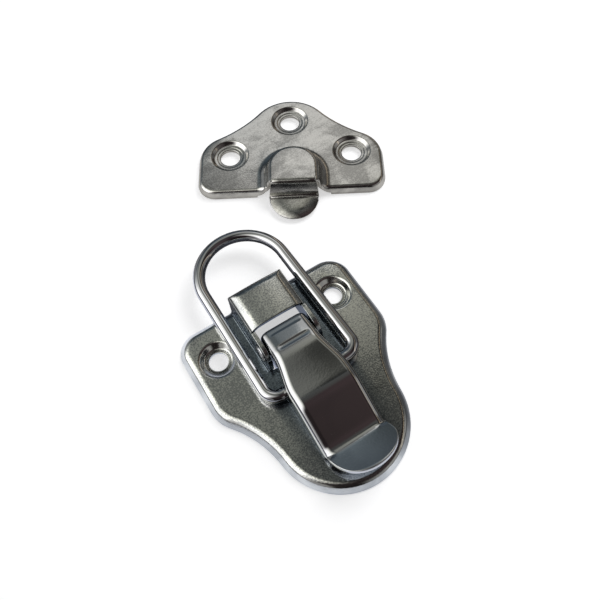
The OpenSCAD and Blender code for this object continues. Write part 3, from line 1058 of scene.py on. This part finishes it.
@dataclass
class Lever(Piece):
    """The channel lever: a curled front lip, a grooved panel, a crest, a slope and the finger tab.

    Stations, named s, are distances along the lever from its front.
    """

    sheet: float = 0.9
    front_y: float = -2.35
    length: float = 32.75
    front_z: float = 8.3
    crest_z: float = 9.5
    bend_z: float = 4.8
    tip_z: float = 7.4
    s_crest: float = 6.2
    s_fall: float = 16.8
    s_tab: float = 25.85
    s_narrow: float = 5.65
    s_wide: float = 14.15
    half_front: float = 5.15
    half_body: float = 6.6
    crest_bend: float = 1.2
    drift: float = -0.05
    s_level: float = 12.0
    level_bend: float = 2.5
    late_drift: float = -0.01
    fall_bend: float = 1.3
    tab_bend: float = 1.3
    tab_depth: float = 4.7
    tab_skew: float = 0.7
    tab_curl: float = 0.3
    tab_rows: tuple[float, ...] = (0.25, 0.5, 0.8, 1.1, 1.5)
    tab_steps: int = 10
    flat_run: float = 1.2
    skew_run: float = 4.0
    bend_r: float = 1.5
    bend_steps: int = 8
    flange_z: float = 2.6
    lip_r: float = 0.8
    lip_share: float = 0.75
    front_corner_r: float = 0.9
    panel: Pair = (1.7, 4.5)
    panel_rise: float = 0.1
    panel_reach: float = 3.1
    panel_fade: float = 0.8
    panel_step: float = 0.6
    groove_s: float = 4.95
    groove_half: float = 0.6
    groove_depth: float = 0.09
    relief_band: float = 0.2
    wall_shares: tuple[float, ...] = (0.0, 0.1, 0.5)
    top_shares: tuple[float, ...] = (0.95, 0.92, 0.89, 0.86, 0.83, 0.8, 0.77, 0.6, 0.3, 0.0)
    edge: float = 0.09

    def top(self, s: float) -> float:
        """Height of the top face.

        Args:
            s: The station.

        Returns:
            The height there.
        """
        rise = (self.crest_z - self.front_z) / self.s_crest
        fall_z = self.crest_z + self.drift * (self.s_level - self.s_crest)
        fall_z += self.late_drift * (self.s_fall - self.s_level)
        fall = (self.bend_z - fall_z) / (self.s_tab - self.s_fall)
        tab = (self.tip_z - self.bend_z) / (self.length - self.s_tab)
        z = self.front_z + rise * s + (self.drift - rise) * ramp(s - self.s_crest, self.crest_bend)
        z += (self.late_drift - self.drift) * ramp(s - self.s_level, self.level_bend)
        z += (fall - self.late_drift) * ramp(s - self.s_fall, self.fall_bend)
        z += (tab - fall) * ramp(s - self.s_tab, self.tab_bend)
        z += self.tab_curl * max(0.0, (s - self.s_tab) / (self.length - self.s_tab)) ** 2
        curl = max(0.0, self.lip_r - s)
        return z - (self.lip_r - math.sqrt(max(0.0, self.lip_r**2 - curl**2))) * self.lip_share

    def half(self, s: float) -> float:
        """Half width of the channel.

        Args:
            s: The station.

        Returns:
            The half width there.
        """
        widen = ease((s - self.s_narrow) / (self.s_wide - self.s_narrow))
        wide = self.half_front + (self.half_body - self.half_front) * widen
        corner = max(0.0, self.front_corner_r - s)
        return wide - self.front_corner_r + math.sqrt(self.front_corner_r**2 - corner**2)

    def relief(self, s: float, x: float) -> float:
        """Height of the raised panel and the groove behind it.

        Args:
            s: The station.
            x: Distance from the middle line.

        Returns:
            The height over the top face.
        """
        low, high = self.panel
        across = ease((self.panel_reach - abs(x)) / (2 * self.panel_fade) + 0.5)
        along = ease((s - low) / self.panel_step + 0.5) * ease((high - s) / self.panel_step + 0.5)
        groove = max(0.0, 1 - ((s - self.groove_s) / self.groove_half) ** 2)
        return across * (self.panel_rise * along - self.groove_depth * groove)

    def section(self, s: float) -> list[Vector]:
        """One section of the channel.

        Args:
            s: The station.

        Returns:
            Points from the left flange's edge to the right one's.
        """
        half, top, r = self.half(s), self.top(s), self.bend_r
        right = [(half, self.flange_z + (top - r - self.flange_z) * t) for t in self.wall_shares]
        for k in range(self.bend_steps + 1):
            a = math.radians(90) * k / self.bend_steps
            right.append((half - r * (1 - math.cos(a)), top - r * (1 - math.sin(a))))
        right += [((half - r) * t, top) for t in self.top_shares]
        points = []
        for x, z in right:
            raised = self.relief(s, x) if z > top - self.relief_band else 0.0
            points.append(Vector((x, self.front_y - s, z + raised)))
        return both_sides(points)

    def stations(self) -> list[float]:
        """Stations along the channel.

        Returns:
            The stations, close together at the lip, the panel's edge and the groove.
        """
        found = [0.0, 0.15, 0.3, 0.45, 0.6, 0.8, 1.0, 1.25]
        found += [1.4 + 0.1 * k for k in range(8)] + [2.4, 3.0, 3.6, 4.0]
        found += [4.2 + 0.1 * k for k in range(14)]
        found += [5.75 + 0.5 * k for k in range(42)]
        return [s for s in found if s < self.s_tab - 0.2] + [self.s_tab]

    def build(self) -> bpy.types.Object:
        """Builds the lever.

        Returns:
            One bent sheet.
        """
        sheet = Sheet()
        rows = sheet.pull_rows([self.section(s) for s in self.stations()])
        low = self.bend_z - self.bend_r
        tab = [e for e in rows[-1] if all(v.co.z > low - LEVEL for v in e.verts)]
        self.tab(sheet, tab)
        return self.press(sheet, self.sheet, self.edge)

    def tab(self, sheet: Sheet, edges: list[BMEdge]) -> None:
        """Flattens the end of the channel into the finger tab.

        Args:
            sheet: The sheet to grow.
            edges: The channel's last row without its flanges.
        """
        verts = {v for e in edges for v in e.verts}
        order = sorted({v[sheet.place] for v in verts})
        share = {place: 2 * i / (len(order) - 1) - 1 for i, place in enumerate(order)}
        first = {v[sheet.place]: (v.co.x, self.top(self.s_tab) - v.co.z) for v in verts}
        half = self.half(self.s_tab)
        round_s = self.length - self.tab_depth
        rows = [(self.s_tab + d, 0.0) for d in self.tab_rows]
        rows += [(round_s, k / self.tab_steps) for k in range(self.tab_steps + 1)]
        for base_s, t in rows:
            flatten = ease((base_s - self.s_tab) / self.flat_run)

            def onward(v: BMVert) -> Vector:
                """The same vertex on the tab, spread flat behind the flanges' ends and rounded at the tip.

                Args:
                    v: The vertex, still on the old row.

                Returns:
                    Its new place.
                """
                u = share[v[sheet.place]]
                x, drop = first[v[sheet.place]]
                s = base_s + self.tab_depth * t * math.sqrt(1 - u * u / 2)
                wide = half * u * math.sqrt(1 - t * t / 2)
                skew = self.tab_skew * ease((s - self.s_tab) / self.skew_run)
                return Vector((
                    x * (1 - flatten) + wide * flatten + skew,
                    self.front_y - s,
                    self.top(s) - drop * (1 - flatten),
                ))

            edges = sheet.pull(edges, onward)


@dataclass
class Bail(Piece):
    """The bent wire, closed by the lever that holds its two ends."""

    wire_r: float = 1.3
    half: float = 9.7
    pivot: float = -14.0
    reach: float = 22.7
    corner_r: float = 2.7
    gap: float = 0.6
    splay: float = 0.9
    z: float = 4.4
    sides: int = 32
    corner_steps: int = 14
    crown_steps: int = 56

    def build(self) -> bpy.types.Object:
        """Extrudes and spins one ring of the wire from end to end, and splays its right leg.

        Returns:
            The closed wire.
        """
        wire = Sheet()
        bm = wire.bm
        turn = Matrix.Rotation(math.radians(90), 4, "Y")
        start = Matrix.Translation((self.gap, self.pivot, self.z)) @ turn
        bmesh.ops.create_circle(bm, cap_ends=False, segments=self.sides, radius=self.wire_r, matrix=start)
        ring = bm.edges[:]
        ends = [ring]
        bar = self.half - self.corner_r
        low, high = self.pivot + self.corner_r, self.reach - self.half
        inward = Vector((bar - self.gap, 0, 0))
        leg = Vector((0, high - low, 0))
        for way, x, y, degrees, steps in (
            (inward, bar, low, 90, self.corner_steps),
            (leg, 0, high, 180, self.crown_steps),
            (-leg, -bar, low, 90, self.corner_steps),
        ):
            ring = wire.pull(ring, lambda v: v.co + way)
            ring = wire.spin(ring, Vector((x, y, self.z)), math.radians(degrees), steps)
        ends.append(wire.pull(ring, lambda v: v.co + inward))
        for end in ends:
            bmesh.ops.contextual_create(bm, geom=end)
        wire.join()
        for vert in bm.verts:
            share = max(0.0, high - vert.co.y) / (high - self.pivot)
            vert.co.x += self.splay * share * max(0.0, vert.co.x / self.half)
        wire.face_out()
        return self.settle(bm)


@dataclass
class HingeRivet(Piece):
    """The rivet through the hinge ears, with a shallow domed head at each end."""

    shank_r: float = 1.25
    half: float = 6.25
    head_r: float = 2.1
    head_t: float = 0.7
    head_rim: float = 0.1
    head_chamfer: float = 0.08
    dome_angles: tuple[float, ...] = (15, 35, 55, 75, 90)
    y: float = -4.8
    z: float = 5.2
    steps: int = 40

    def build(self) -> bpy.types.Object:
        """Spins the rivet's profile about its axis.

        Returns:
            The closed rivet.
        """
        rivet = Sheet()
        rim = self.half + self.head_rim
        right = [(self.shank_r, 0.0), (self.shank_r, self.half)]
        right += [(self.head_r - self.head_chamfer, self.half), (self.head_r, rim)]
        for degrees in self.dome_angles:
            a = math.radians(degrees)
            right.append((self.head_r * math.cos(a), rim + (self.head_t - self.head_rim) * math.sin(a)))
        profile = [(r, -x) for r, x in reversed(right)] + right[1:]
        edges = rivet.row([Vector((x, self.y, self.z + r)) for r, x in profile])
        rivet.spin(edges, Vector((0, self.y, self.z)), math.tau, self.steps, (1, 0, 0))
        rivet.face_out()
        return self.settle(rivet.bm)


@dataclass(frozen=True)
class Viewpoint:
    """The camera at the photograph's angle."""

    lens: float = 36.0
    sensor: float = 36.0
    clip: float = 0.005
    pitch: float = 1.11042592
    roll: float = 0.0679687
    heading: float = -0.5005194
    distance: float = 129.6238
    target: Triple = (7.7042, 3.2599, 0.0)

    def build(self) -> None:
        """Makes the camera and gives it to the scene."""
        data = bpy.data.cameras.new("photo_camera")
        data.lens = self.lens
        data.sensor_width = self.sensor
        data.clip_start = self.clip
        forward = Vector((
            -math.sin(self.heading) * math.cos(self.pitch),
            math.cos(self.heading) * math.cos(self.pitch),
            -math.sin(self.pitch),
        ))
        level = Vector((math.cos(self.heading), math.sin(self.heading), 0))
        rise = level.cross(forward)
        right = math.cos(self.roll) * level - math.sin(self.roll) * rise
        up = math.sin(self.roll) * level + math.cos(self.roll) * rise
        place = Matrix((right, up, -forward)).transposed().to_4x4()
        place.translation = (Vector(self.target) - self.distance * forward) * MM
        camera = bpy.data.objects.new("photo_camera", data)
        camera.matrix_world = place
        bpy.context.scene.collection.objects.link(camera)
        bpy.context.scene.camera = camera


# The surroundings that the metal mirrors. The ceiling runs from the near side to the far side, and the
# others run from the left to the right.
CEILING = (
    (0.0, (0.025, 0.021, 0.02)),
    (0.3, (0.058, 0.042, 0.045)),
    (0.4, (0.055, 0.04, 0.043)),
    (0.46, (0.07, 0.067, 0.067)),
    (0.55, (0.08, 0.084, 0.085)),
    (0.59, (0.12, 0.125, 0.123)),
    (0.63, (0.25, 0.255, 0.235)),
    (0.71, (0.31, 0.315, 0.295)),
    (0.75, (0.26, 0.265, 0.26)),
    (0.8, (0.19, 0.195, 0.195)),
    (0.87, (0.19, 0.23, 0.26)),
    (0.915, (0.07, 0.085, 0.105)),
    (0.97, (0.06, 0.08, 0.1)),
)
CEILING_SHADE = (
    (0.5, (0.52, 0.54, 0.54)),
    (0.54, (0.9, 0.92, 0.91)),
    (0.56, (0.95, 0.96, 0.95)),
    (0.65, (1.2, 1.18, 1.15)),
    (0.69, (1.1, 1.08, 1.05)),
    (0.77, (0.4, 0.38, 0.36)),
    (0.95, (0.12, 0.11, 0.1)),
)
LEFT_SIDE = (
    (0.0, (1.7, 1.7, 1.75)),
    (0.2, (1.65, 1.65, 1.65)),
    (0.28, (1.35, 1.35, 1.3)),
    (0.36, (0.9, 0.9, 0.83)),
    (0.43, (0.3, 0.305, 0.285)),
    (0.5, BLACK),
    (0.55, BLACK),
)
# Where the left side fades in or out: the axis, the range along it, and the levels at its ends.
LEFT_LIMITS = (("Y", -0.5, -0.12, 0.0, 1.0), ("Y", 0.48, 0.85, 1.0, 0.0), ("Z", 0.05, 0.2, 0.0, 1.0))
WARM_RAIL = ((0.84, BLACK), (0.865, (0.6, 0.5, 0.38)), (0.89, BLACK))


@dataclass(frozen=True)
class Spot:
    """A round spot of the surroundings: its direction, the cosines where it begins and is full, its level."""

    way: Triple
    cosines: Pair
    level: float

    def seen(self, nodes: NodeTree, way: Socket, around: float) -> Socket:
        """The spot's level in a direction.

        Args:
            nodes: The world's nodes.
            way: The direction.
            around: The level outside the spot.

        Returns:
            The level there.
        """
        inputs = {0: way, 1: Vector(self.way).normalized()}
        nearness = nodes.add("ShaderNodeVectorMath", inputs, operation="DOT_PRODUCT").outputs["Value"]
        return nodes.spread(nearness, *self.cosines, around, self.level)


@dataclass(frozen=True)
class Studio:
    """A pale floor under a soft studio: a bright side, a grey far side and a dark near ceiling.

    Lengths on the floor are in metres, and the fill's limits are parts of a direction.
    """

    floor_half: float = 0.8
    floor_drop: float = 0.00002
    floor_glow: float = 0.54
    floor_tint: Colour = (0.86, 0.86, 0.87)
    # Painted shade: the cool hue of the floor as the metal mirrors it, away from the catch, which stands in
    # for the floor's shadow beside the base.
    floor_mirrored_shade: Colour = (0.6, 0.66, 0.84)
    floor_plain: Colour = (1.0, 0.98, 0.95)
    mirrored_low: float = 0.12
    mirrored_close: float = 0.45
    mirrored_front: float = 0.5
    lit_slant: float = 0.15
    lit_edge: Pair = (0.0, 0.012)
    near_edge: Pair = (0.001, 0.006)
    left_edge: Pair = (-0.0115, -0.0095)
    near_reach: Pair = (0.009, 0.03)
    close_reach: Pair = (0.0012, 0.0032)
    catch_slant: float = 0.55
    catch_edge: Pair = (0.024, 0.028)
    sky: float = 0.2
    dark: Spot = Spot((0.235, 0.195, 0.95), (0.9945, 0.9985), 0.22)
    far_corner: Spot = Spot((0.3, 0.74, 0.6), (0.989, 0.999), 0.3)
    catch_corner: Spot = Spot((0.185, 0.56, 0.8), (0.9972, 0.9994), 0.4)
    window: Spot = Spot((0.34, 0.57, 0.75), (0.98, 0.993), 0.45)
    warm_side: Spot = Spot((-0.35, 0.9, 0.2), (0.93, 0.985), 0.2)
    fill_near_x: Pair = (-0.15, 0.1)
    fill_near_y: Pair = (-0.3, 0.0)
    fill_left_x: Pair = (-0.68, -0.56)
    fill_left_y: Pair = (-0.45, -0.25)
    fill_right_x: Pair = (0.6, 0.75)
    fill_right: float = 0.35
    fill_z: Pair = (0.35, 0.65)
    low_fill: float = 0.3
    lamp_at: Triple = (0.36, 0.12, 0.36)
    lamp_size: Pair = (0.4, 0.3)
    lamp_power: float = 1.55

    def build(self) -> None:
        """Makes the floor, the world and the lamp."""
        self.floor()
        self.world()
        self.lamp()
        bpy.context.scene.view_settings.view_transform = "Standard"

    def floor(self) -> None:
        """A plain pale floor that stays white around the object's own shadow."""
        bm = bmesh.new()
        bmesh.ops.create_grid(bm, x_segments=1, y_segments=1, size=self.floor_half)
        bmesh.ops.translate(bm, vec=(0, 0, -self.floor_drop), verts=bm.verts[:])
        mesh = bpy.data.meshes.new("studio_floor")
        bm.to_mesh(mesh)
        bm.free()
        mesh.materials.append(self.paper())
        floor = bpy.data.objects.new("studio_floor", mesh)
        bpy.context.scene.collection.objects.link(floor)

    def paper(self) -> bpy.types.Material:
        """The floor's white, which glows to the eye and less so in reflections.

        Returns:
            The material.
        """
        material = bpy.data.materials.new("studio_floor_paper")
        material.use_nodes = True
        tree = material.node_tree
        nodes = NodeTree(tree)
        rays = nodes.add("ShaderNodeLightPath").outputs
        axes = nodes.axes(nodes.add("ShaderNodeTexCoord").outputs["Object"])
        glossy = rays["Is Glossy Ray"]
        share = self.mirrored(nodes, rays, axes)
        seen = nodes.math("MAXIMUM", rays["Is Camera Ray"], glossy)
        strength = nodes.times(nodes.times(seen, self.floor_glow), share)
        front = self.before_catch(nodes, axes)
        # Painted shade: the mirrored floor takes the cool shadow hue, except around the catch.
        mirrored = nodes.blend("MIX", front, (*self.floor_mirrored_shade, 1.0), (*self.floor_plain, 1.0))
        hue = nodes.blend("MIX", glossy, (*WHITE, 1.0), mirrored)
        glow = nodes.add("ShaderNodeEmission", {"Color": hue, "Strength": strength})
        tint = nodes.blend("MIX", share, (*BLACK, 1.0), (*self.floor_tint, 1.0))
        matt = nodes.add("ShaderNodeBsdfDiffuse", {"Color": tint})
        both = nodes.add("ShaderNodeAddShader", {0: glow.outputs[0], 1: matt.outputs[0]})
        tree.links.new(both.outputs[0], tree.nodes["Material Output"].inputs["Surface"])
        tree.nodes.remove(tree.nodes["Principled BSDF"])
        return material

    def mirrored(self, nodes: NodeTree, rays: Sockets, axes: Sockets) -> Socket:
        """How bright the floor is: full to the eye, and in reflections only close by on the lit side.

        Args:
            nodes: The floor's material.
            rays: What asks for the floor, and from how far.
            axes: The place on the floor.

        Returns:
            The floor's share of its brightness.
        """
        low, reach = self.mirrored_low, rays["Ray Length"]
        slant = nodes.math("ADD", axes["X"], nodes.times(axes["Y"], self.lit_slant))
        lit_side = nodes.spread(slant, *self.lit_edge, 1.0, low)
        near_side = nodes.spread(axes["Y"], *self.near_edge, 1.0, low)
        near_side = nodes.math("MAXIMUM", near_side, nodes.spread(axes["X"], *self.left_edge, 1.0, 0.0))
        nearby = nodes.spread(reach, *self.near_reach, 1.0, low)
        front = nodes.times(self.before_catch(nodes, axes), self.mirrored_front)
        lit = nodes.times(nodes.math("MAXIMUM", nodes.times(lit_side, near_side), front), nearby)
        close = nodes.spread(reach, *self.close_reach, self.mirrored_close, 0.0)
        lost = nodes.math("SUBTRACT", 1.0, nodes.math("MAXIMUM", lit, close))
        return nodes.math("SUBTRACT", 1.0, nodes.times(rays["Is Glossy Ray"], lost))

    def before_catch(self, nodes: NodeTree, axes: Sockets) -> Socket:
        """Where the floor lies in front of the catch and around it."""
        across = nodes.math("ADD", axes["Y"], nodes.times(axes["X"], self.catch_slant))
        return nodes.spread(across, *self.catch_edge)

    def world(self) -> None:
        """Soft surroundings that change with direction, and plain white behind the floor."""
        world = bpy.data.worlds.new("studio_world")
        bpy.context.scene.world = world
        world.use_nodes = True
        nodes = NodeTree(world.node_tree)
        rays = nodes.add("ShaderNodeLightPath").outputs
        sky = (self.sky, self.sky, self.sky, 1.0)
        soft = nodes.blend("MIX", rays["Is Diffuse Ray"], self.surroundings(nodes), sky)
        seen = nodes.blend("MIX", rays["Is Camera Ray"], soft, (*WHITE, 1.0))
        world.node_tree.links.new(seen, world.node_tree.nodes["Background"].inputs["Color"])

    def surroundings(self, nodes: NodeTree) -> Socket:
        """What the metal mirrors: a shaded ceiling, a bright left side, a warm rail, spots and a low fill.

        Args:
            nodes: The world's nodes.

        Returns:
            The colour in a direction.
        """
        way = nodes.add("ShaderNodeTexCoord").outputs["Generated"]
        axes = nodes.axes(way)
        side = nodes.spread_linear(axes["X"], -1.0, 1.0)
        ceiling = nodes.ramp(nodes.spread_linear(axes["Y"], -1.0, 1.0), CEILING)
        left = nodes.ramp(side, LEFT_SIDE)
        for axis, low, high, start, end in LEFT_LIMITS:
            left = nodes.blend("MULTIPLY", 1.0, left, nodes.spread(axes[axis], low, high, start, end))
        catch_gap = self.catch_corner.seen(nodes, way, 1.0)
        far_gap = nodes.times(self.far_corner.seen(nodes, way, 1.0), catch_gap)
        gaps = nodes.times(self.dark.seen(nodes, way, 1.0), far_gap)
        glow = nodes.math("ADD", self.window.seen(nodes, way, 0.0), self.warm_side.seen(nodes, way, 0.0))
        glow = nodes.math("ADD", nodes.times(glow, catch_gap), self.fill(nodes, axes))
        lit = nodes.blend("MULTIPLY", 1.0, ceiling, nodes.ramp(side, CEILING_SHADE))
        lit = nodes.blend("MULTIPLY", 1.0, lit, gaps)
        for more in (left, nodes.ramp(side, WARM_RAIL), glow):
            lit = nodes.blend("ADD", 1.0, lit, more)
        return lit

    def fill(self, nodes: NodeTree, axes: Sockets) -> Socket:
        """Low fill light around the near and right sides, for views from other angles.

        Args:
            nodes: The world's nodes.
            axes: The direction's parts.

        Returns:
            How bright the fill is in a direction.
        """
        near_x = nodes.spread(axes["X"], *self.fill_near_x)
        near = nodes.times(near_x, nodes.spread(axes["Y"], *self.fill_near_y, 1.0, 0.0))
        left_x = nodes.spread(axes["X"], *self.fill_left_x, 1.0, 0.0)
        near_left = nodes.times(left_x, nodes.spread(axes["Y"], *self.fill_left_y, 1.0, 0.0))
        right = nodes.spread(axes["X"], *self.fill_right_x, 0.0, self.fill_right)
        sides = nodes.math("MAXIMUM", nodes.math("MAXIMUM", near, near_left), right)
        return nodes.times(sides, nodes.spread(axes["Z"], *self.fill_z, self.low_fill, 0.0))

    def lamp(self) -> None:
        """One soft lamp from the right that only lights the floor, for the shadow's direction."""
        data = bpy.data.lights.new("right_softbox", "AREA")
        data.shape = "RECTANGLE"
        data.size, data.size_y = self.lamp_size
        data.energy = self.lamp_power
        lamp = bpy.data.objects.new("right_softbox", data)
        lamp.location = self.lamp_at
        lamp.rotation_euler = (-Vector(self.lamp_at)).to_track_quat("-Z", "Y").to_euler()
        lamp.visible_glossy = False
        bpy.context.scene.collection.objects.link(lamp)


# The satin plate's colour carries painted shade in its crevices within 8.6 mm of the middle line.
SATIN = Plating(
    "satin_nickel", (0.8, 0.8, 0.75), (0.44, 0.45, 0.44), smooth=0.12, rough=0.18,
    grain_scale=3300.0, cloud_scale=110.0, grain_depth=0.014, wave_depth=0.02, grain_tint=0.9, painted_shade_half=8.6,
)
# The wire's colour carries painted reflection lines by height.
WIRE = Plating(
    "bright_wire_chrome", (0.76, 0.76, 0.77), (0.68, 0.68, 0.69), smooth=0.025, rough=0.05,
    grain_scale=1500.0, cloud_scale=160.0, grain_depth=0.0, wave_depth=0.008, painted_reflections=0.85,
)
RIVET = Plating(
    "bright_rivet_chrome", (0.8, 0.8, 0.81), (0.7, 0.7, 0.71), smooth=0.05, rough=0.09,
    grain_scale=1500.0, cloud_scale=160.0, grain_depth=0.0, wave_depth=0.01,
)
LEVER = Plating(
    "bright_lever_chrome", (0.66, 0.66, 0.65), (0.58, 0.58, 0.58), smooth=0.08, rough=0.14,
    grain_scale=2200.0, cloud_scale=120.0, grain_depth=0.004, wave_depth=0.0,
)
CATCH = Plating(
    "buffed_nickel", (0.76, 0.745, 0.71), (0.46, 0.45, 0.43), smooth=0.11, rough=0.2,
    grain_scale=2900.0, cloud_scale=150.0, grain_depth=0.009, wave_depth=0.02, grain_tint=0.4,
    scratch_tint=0.25,
)


def main() -> None:
    """Builds the camera, the studio and the five pieces."""
    logging.basicConfig(level=logging.INFO, format="%(name)s: %(message)s")
    Viewpoint().build()
    Studio().build()
    for piece in (
        BasePlate("pressed_base", "base_plate", Body.BASE, Slot.SATIN, SATIN),
        HingeRivet("hinge_rivet", "hinge_pin", Body.BASE, Slot.WIRE, RIVET),
        Lever("channel_lever", "lever", Body.LEVER, Slot.LEVER, LEVER),
        Bail("wire_bail", "bail", Body.BAIL, Slot.WIRE, WIRE),
        CatchPlate("pressed_catch", "catch_plate", Body.BASE, Slot.CATCH, CATCH),
    ):
        piece.build()


if __name__ == "__main__":
    main()
